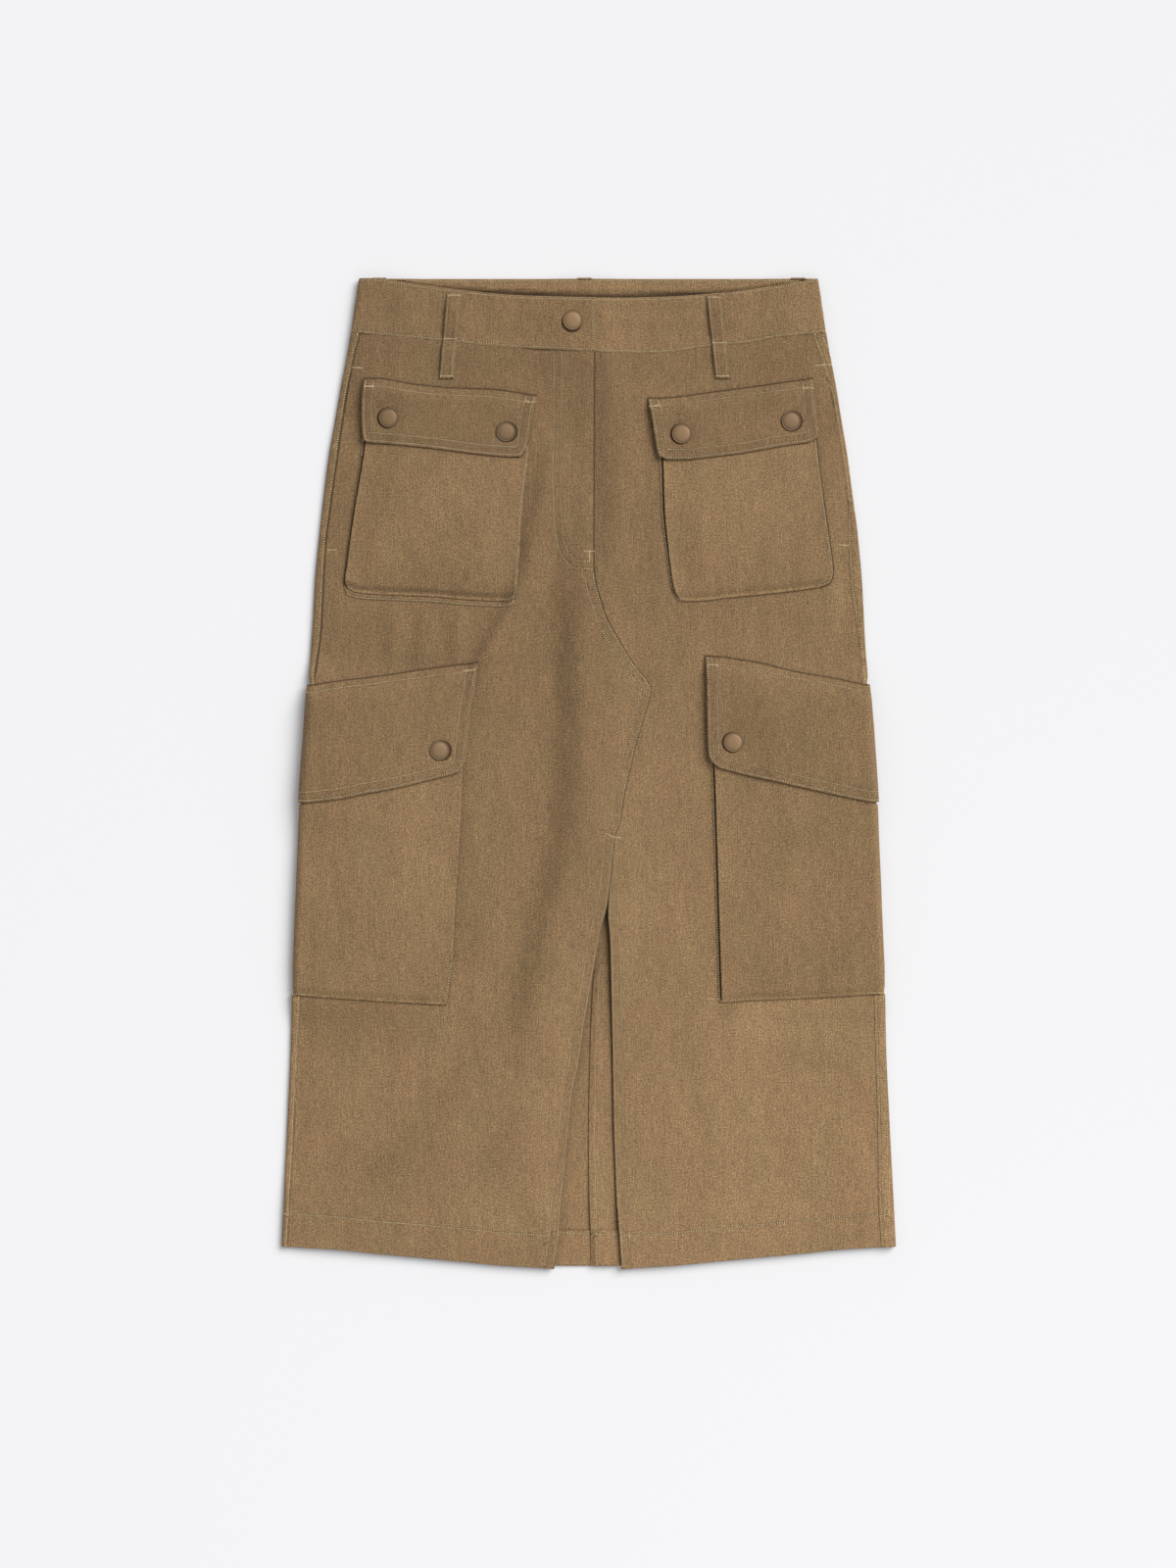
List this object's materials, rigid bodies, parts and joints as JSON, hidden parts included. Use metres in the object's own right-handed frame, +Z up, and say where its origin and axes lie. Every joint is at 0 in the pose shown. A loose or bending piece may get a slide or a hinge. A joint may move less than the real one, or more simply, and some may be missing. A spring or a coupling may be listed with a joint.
{
  "type": "cargo midi skirt",
  "caption": "Cotton twill cargo skirt laid flat, front up: dipped waistband, lapped curved centre seam with a hem slit, snapped flap pockets at hips and thighs.",
  "frame": {"origin": "on the surface the skirt lies on, under the middle of its bounding box", "axes": "+X to the right as seen from above with the waistband away from the viewer, which is the wearer's left; +Y from hem to waistband; +Z up, out of the skirt's front"},
  "size_m": [0.4646, 0.7478, 0.0154],
  "materials": {
    "twill": "matt cotton twill, khaki brown, lightly washed",
    "snap_metal": "matt antique bronze",
    "thread": "polyester sewing thread, a little lighter than the twill"
  },
  "bodies": {
    "root": {"front_panel_left": "twill", "front_panel_right": "twill", "back_panel_left": "twill", "back_panel_right": "twill", "waistband_front_left": "twill", "waistband_front_right": "twill", "waistband_back": "twill", "belt_loop_front_left": "twill", "belt_loop_front_right": "twill", "belt_loop_back_left": "twill", "belt_loop_back_centre": "twill", "belt_loop_back_right": "twill", "hip_pocket_left": "twill", "hip_pocket_left_gusset": "twill", "hip_pocket_left_flap": "twill", "hip_pocket_right": "twill", "hip_pocket_right_gusset": "twill", "hip_pocket_right_flap": "twill", "cargo_pocket_left": "twill", "cargo_pocket_left_gusset": "twill", "cargo_pocket_left_flap": "twill", "cargo_pocket_right": "twill", "cargo_pocket_right_gusset": "twill", "cargo_pocket_right_flap": "twill", "snap_waistband": "snap_metal", "snap_hip_left_outer": "snap_metal", "snap_hip_left_inner": "snap_metal", "snap_hip_right_inner": "snap_metal", "snap_hip_right_outer": "snap_metal", "snap_cargo_left": "snap_metal", "snap_cargo_right": "snap_metal"}
  },
  "joints": []
}
